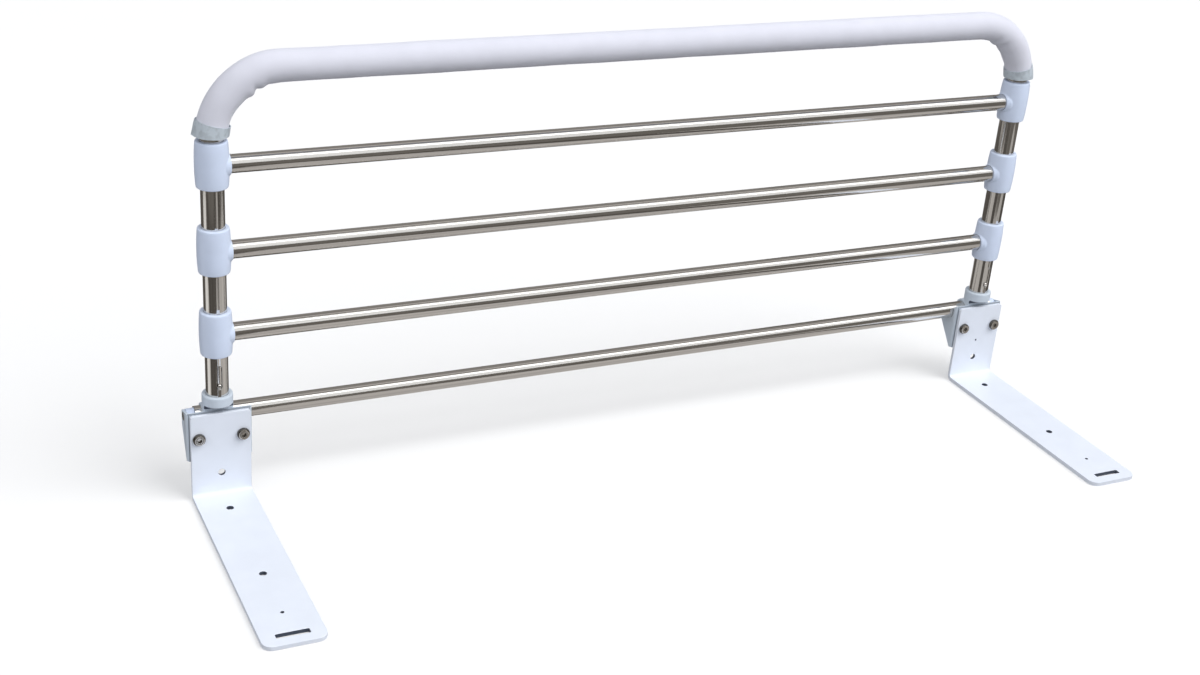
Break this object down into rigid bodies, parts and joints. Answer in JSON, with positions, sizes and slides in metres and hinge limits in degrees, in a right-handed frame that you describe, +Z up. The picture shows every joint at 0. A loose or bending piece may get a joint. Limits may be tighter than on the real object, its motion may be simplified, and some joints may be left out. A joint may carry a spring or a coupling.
{
  "type": "folding bed guard rail",
  "caption": "Bed guard: a foam-padded steel hoop with rails in moulded fittings that folds down about a fixed rail held between L-shaped feet.",
  "frame": {"origin": "On the floor, midway between the two feet and midway between the free ends of the feet and the back of the inner bracket cheeks.", "axes": "+X runs along the rails to the right as seen from the bed, +Y points away from the bed, the way that the guard folds, and +Z is up."},
  "size_m": [1.099, 0.3374, 0.507],
  "materials": {
    "stainless_tube": "polished",
    "foam": "matte",
    "tape": "satin",
    "fitting_plastic": "satin",
    "bracket_coat": "satin",
    "foot_coat": "satin",
    "plated_fastener": "satin"
  },
  "bodies": {
    "base": {"pivot_rail": "stainless_tube", "left_foot_plate": "foot_coat", "left_bracket": "bracket_coat", "left_pivot_plug": "fitting_plastic", "left_pivot_screw": "plated_fastener", "left_outer_bolt": "plated_fastener", "left_outer_washer": "plated_fastener", "left_outer_nut": "plated_fastener", "left_inner_bolt": "plated_fastener", "left_inner_washer": "plated_fastener", "left_inner_nut": "plated_fastener", "right_foot_plate": "foot_coat", "right_bracket": "bracket_coat", "right_pivot_plug": "fitting_plastic", "right_pivot_screw": "plated_fastener", "right_outer_bolt": "plated_fastener", "right_outer_washer": "plated_fastener", "right_outer_nut": "plated_fastener", "right_inner_bolt": "plated_fastener", "right_inner_washer": "plated_fastener", "right_inner_nut": "plated_fastener"},
    "guard": {"hoop_tube": "stainless_tube", "lower_rail": "stainless_tube", "middle_rail": "stainless_tube", "upper_rail": "stainless_tube", "foam_sleeve": "foam", "left_tape_wrap": "tape", "right_tape_wrap": "tape", "left_lower_fitting": "fitting_plastic", "left_middle_fitting": "fitting_plastic", "left_upper_fitting": "fitting_plastic", "right_lower_fitting": "fitting_plastic", "right_middle_fitting": "fitting_plastic", "right_upper_fitting": "fitting_plastic", "left_swivel": "bracket_coat", "right_swivel": "bracket_coat", "left_lower_fitting_screw": "plated_fastener", "left_middle_fitting_screw": "plated_fastener", "left_upper_fitting_screw": "plated_fastener", "right_lower_fitting_screw": "plated_fastener", "right_middle_fitting_screw": "plated_fastener", "right_upper_fitting_screw": "plated_fastener", "left_collar_grub": "plated_fastener", "right_collar_grub": "plated_fastener"},
    "left_lock": {"left_lock_rod": "stainless_tube", "left_lock_peg": "plated_fastener"},
    "right_lock": {"right_lock_rod": "stainless_tube", "right_lock_peg": "plated_fastener"}
  },
  "joints": [
    {"name": "fold", "type": "hinge", "parent": "base", "child": "guard", "pos_m": [0, 0.1527, 0.096], "axis": [-1, 0, 0], "range_deg": [0, 180]},
    {"name": "left_lock_slide", "type": "slide", "parent": "guard", "child": "left_lock", "axis": [0, 0, 1], "range_m": [0, 0.021]},
    {"name": "right_lock_slide", "type": "slide", "parent": "guard", "child": "right_lock", "axis": [0, 0, 1], "range_m": [0, 0.021]}
  ]
}
